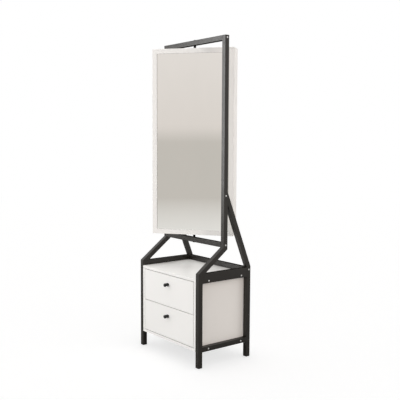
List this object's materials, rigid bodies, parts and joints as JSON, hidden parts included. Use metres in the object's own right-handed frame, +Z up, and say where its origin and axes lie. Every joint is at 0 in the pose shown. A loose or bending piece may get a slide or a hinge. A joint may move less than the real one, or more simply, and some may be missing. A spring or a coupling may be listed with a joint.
{
  "type": "rotating jewelry armoire",
  "caption": "Free-standing jewelry armoire: a tall mirror cabinet that swivels in a black tubular steel frame above a low white chest of drawers.",
  "frame": {"origin": "on the floor, in the middle of the footprint; the swivel axis stands 13 mm behind it because only the front has knobs", "axes": "+Z up, -Y to the front with the drawers, +X to the right as seen from the front"},
  "size_m": [0.53, 0.3766, 1.6858],
  "materials": {
    "black_steel": "charcoal black powder coat, satin",
    "black_plastic": "matte black moulded plastic",
    "white_board": "white painted board, satin",
    "drawer_board": "white foil-covered board, matte",
    "runner_wood": "bare beech, smooth",
    "mirror_silver": "silvered plate glass, polished",
    "nylon": "black nylon, matte",
    "black_knob": "black lacquered metal, semi-gloss",
    "zinc_screw": "bright zinc plate"
  },
  "bodies": {
    "frame": {"left_front_leg": "black_steel", "left_front_brace": "black_steel", "left_lower_post": "black_steel", "left_upper_post": "black_steel", "left_rear_leg": "black_steel", "left_rear_brace": "black_steel", "left_upper_rail": "black_steel", "left_lower_rail": "black_steel", "right_front_leg": "black_steel", "right_front_brace": "black_steel", "right_lower_post": "black_steel", "right_upper_post": "black_steel", "right_rear_leg": "black_steel", "right_rear_brace": "black_steel", "right_upper_rail": "black_steel", "right_lower_rail": "black_steel", "top_crossbar": "black_steel", "lower_crossbar": "black_steel", "back_rail": "black_steel", "top_pivot_pin": "black_steel", "bottom_pivot_pin": "black_steel", "left_front_foot": "black_plastic", "left_rear_foot": "black_plastic", "right_front_foot": "black_plastic", "right_rear_foot": "black_plastic", "chest_top": "white_board", "chest_bottom": "white_board", "chest_left_side": "white_board", "chest_right_side": "white_board", "chest_back": "white_board", "upper_left_runner": "runner_wood", "upper_right_runner": "runner_wood", "lower_left_runner": "runner_wood", "lower_right_runner": "runner_wood"},
    "mirror_cabinet": {"mirror_frame": "white_board", "mirror_glass": "mirror_silver", "mirror_backing": "white_board", "cabinet_left_side": "white_board", "cabinet_right_side": "white_board", "cabinet_top": "white_board", "cabinet_bottom": "white_board", "lower_shelf": "white_board", "upper_shelf": "white_board", "lower_guard_rod": "black_steel", "upper_guard_rod": "black_steel", "hook_strip": "black_steel", "top_pivot_bush": "nylon", "bottom_pivot_bush": "nylon"},
    "upper_drawer": {"upper_drawer_front": "white_board", "upper_drawer_left_side": "drawer_board", "upper_drawer_right_side": "drawer_board", "upper_drawer_back": "drawer_board", "upper_drawer_bottom": "drawer_board", "upper_drawer_knob": "black_knob"},
    "lower_drawer": {"lower_drawer_front": "white_board", "lower_drawer_left_side": "drawer_board", "lower_drawer_right_side": "drawer_board", "lower_drawer_back": "drawer_board", "lower_drawer_bottom": "drawer_board", "lower_drawer_knob": "black_knob"}
  },
  "joints": [
    {"name": "cabinet_swivel", "type": "hinge", "parent": "frame", "child": "mirror_cabinet", "pos_m": [0, 0.01325, 1.1435], "axis": [0, 0, 1], "continuous": true},
    {"name": "upper_drawer_slide", "type": "slide", "parent": "frame", "child": "upper_drawer", "axis": [0, -1, 0], "range_m": [0, 0.2]},
    {"name": "lower_drawer_slide", "type": "slide", "parent": "frame", "child": "lower_drawer", "axis": [0, -1, 0], "range_m": [0, 0.2]}
  ]
}
